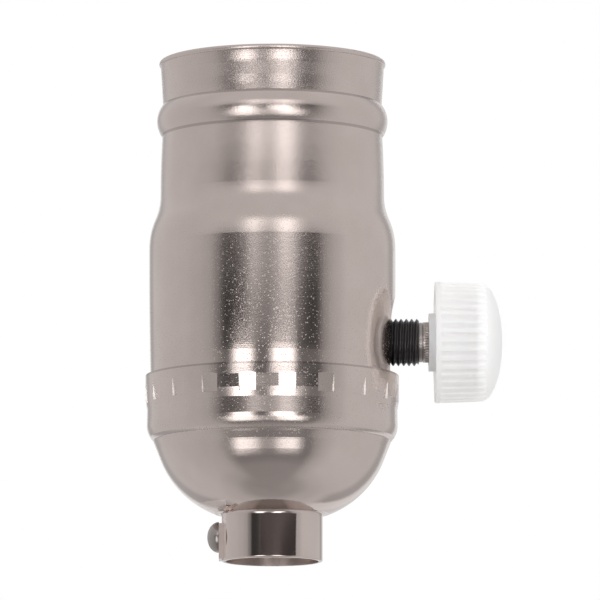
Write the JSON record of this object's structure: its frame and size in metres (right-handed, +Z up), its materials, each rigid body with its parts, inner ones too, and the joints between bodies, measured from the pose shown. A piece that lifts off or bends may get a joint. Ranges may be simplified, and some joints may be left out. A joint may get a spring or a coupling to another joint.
{
  "type": "lamp holder with rotary dimmer",
  "caption": "Metal medium-base lamp holder: domed cap on a set-screw pipe neck, beaded shell over a screw socket, and a ribbed white knob on a threaded bushing at its side.",
  "frame": {"origin": "centre of the pipe neck's lower face, on the axis of the lamp", "axes": "+Z up along the lamp's axis, from the neck to the shell's rim; +X towards the dimmer knob"},
  "size_m": [0.0538, 0.0382, 0.076],
  "materials": {
    "nickel_plate": "satin bright nickel plate on brass sheet",
    "screw_steel": "plated steel, slightly dull",
    "shaft_metal": "bright turned metal with a straight knurl",
    "black_metal": "black oxide, satin",
    "white_plastic": "moulded translucent white, glossy",
    "black_fibre": "vulcanised fibre, matt",
    "dark_phenolic": "moulded phenolic, semi-matt",
    "brass": "bright stamped brass",
    "neutral_plate": "tin plate",
    "board_laminate": "paper laminate, tan",
    "component_plastic": "moulded black",
    "component_ceramic": "lacquered",
    "copper_winding": "enamelled copper"
  },
  "bodies": {
    "base": {"outer_shell": "nickel_plate", "shell_liner": "black_fibre", "cap": "nickel_plate", "cap_liner": "black_fibre", "cap_bushing": "nickel_plate", "control_bushing": "black_metal", "bushing_nut": "screw_steel", "pot_can": "neutral_plate", "pot_wafer": "board_laminate", "pot_lugs": "brass", "switch_block": "dark_phenolic", "dimmer_case": "dark_phenolic", "case_cover": "dark_phenolic", "case_screws": "screw_steel", "circuit_board": "board_laminate", "triac": "component_plastic", "capacitor": "component_plastic", "choke": "copper_winding", "resistor": "component_ceramic", "diac": "component_ceramic", "line_terminal": "brass", "neutral_terminal": "neutral_plate", "line_screw": "brass", "neutral_screw": "screw_steel", "load_strap": "brass", "socket_body": "dark_phenolic", "screw_shell": "brass", "center_contact": "brass", "contact_rivet": "brass", "shell_rivets": "brass"},
    "knob": {"knob": "white_plastic", "control_shaft": "shaft_metal", "thrust_washer": "screw_steel", "pot_rotor": "component_plastic", "pot_wiper": "brass"},
    "set_screw": {"set_screw": "screw_steel"}
  },
  "joints": [
    {"name": "knob_turn", "type": "hinge", "parent": "base", "child": "knob", "pos_m": [0.0245, 0, 0.0332], "axis": [-1, 0, 0], "range_deg": [0, 300]},
    {"name": "set_screw_travel", "type": "slide", "parent": "base", "child": "set_screw", "axis": [-1, 0, 0], "range_m": [0, 0.002]}
  ]
}
